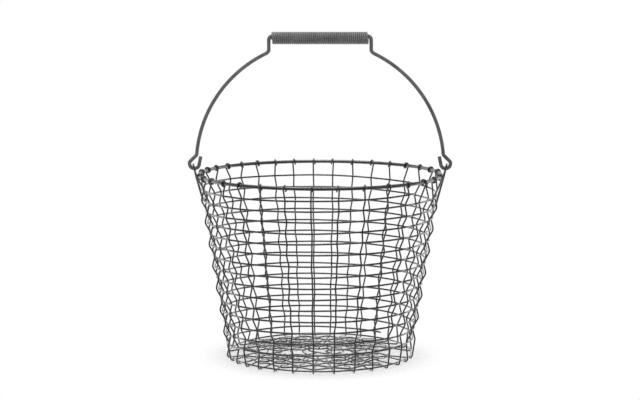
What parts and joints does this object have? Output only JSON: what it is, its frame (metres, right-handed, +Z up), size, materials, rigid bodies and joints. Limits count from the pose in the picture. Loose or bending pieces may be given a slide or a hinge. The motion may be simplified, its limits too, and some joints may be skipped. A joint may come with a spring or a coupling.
{
  "type": "wire basket",
  "caption": "Round tapered open basket woven from galvanized steel wire, with a thick rim hoop and a swinging wire bail that has a coiled wire grip.",
  "frame": {"origin": "centre of the base, on the surface that the feet stand on", "axes": "+Z up, X along the bail's pivot axis, Y across the bail; the pictured front faces -Y"},
  "size_m": [0.3498, 0.3293, 0.4313],
  "materials": {
    "galvanized_wire": "hot-dip galvanized, weathered satin grey",
    "galvanized_bail": "galvanized, dull grey"
  },
  "bodies": {
    "basket": {"rim_hoop": "galvanized_wire", "upright_01": "galvanized_wire", "upright_02": "galvanized_wire", "upright_03": "galvanized_wire", "upright_04": "galvanized_wire", "upright_05": "galvanized_wire", "upright_06": "galvanized_wire", "upright_07": "galvanized_wire", "upright_08": "galvanized_wire", "upright_09": "galvanized_wire", "upright_10": "galvanized_wire", "upright_11": "galvanized_wire", "upright_12": "galvanized_wire", "upright_13": "galvanized_wire", "upright_14": "galvanized_wire", "upright_15": "galvanized_wire", "upright_16": "galvanized_wire", "upright_17": "galvanized_wire", "upright_18": "galvanized_wire", "upright_19": "galvanized_wire", "upright_20": "galvanized_wire", "upright_21": "galvanized_wire", "upright_22": "galvanized_wire", "upright_23": "galvanized_wire", "upright_24": "galvanized_wire", "upright_25": "galvanized_wire", "upright_26": "galvanized_wire", "upright_27": "galvanized_wire", "upright_28": "galvanized_wire", "upright_29": "galvanized_wire", "upright_30": "galvanized_wire", "upright_31": "galvanized_wire", "upright_32": "galvanized_wire", "side_row_01": "galvanized_wire", "side_row_02": "galvanized_wire", "side_row_03": "galvanized_wire", "side_row_04": "galvanized_wire", "side_row_05": "galvanized_wire", "side_row_06": "galvanized_wire", "side_row_07": "galvanized_wire", "side_row_08": "galvanized_wire", "side_row_09": "galvanized_wire", "side_row_10": "galvanized_wire", "side_row_11": "galvanized_wire", "side_row_12": "galvanized_wire", "side_row_13": "galvanized_wire", "side_row_14": "galvanized_wire", "side_row_15": "galvanized_wire", "base_hoop": "galvanized_wire", "base_weft": "galvanized_wire", "ear_right": "galvanized_wire", "ear_left": "galvanized_wire"},
    "bail": {"bail": "galvanized_bail"},
    "grip": {"grip_coil": "galvanized_bail"}
  },
  "joints": [
    {"name": "bail_swing", "type": "hinge", "parent": "basket", "child": "bail", "pos_m": [0, 0, 0.25067], "axis": [1, 0, 0], "range_deg": [-90, 90]},
    {"name": "grip_turn", "type": "hinge", "parent": "bail", "child": "grip", "pos_m": [0, 0, 0.42272], "axis": [1, 0, 0], "continuous": true}
  ]
}
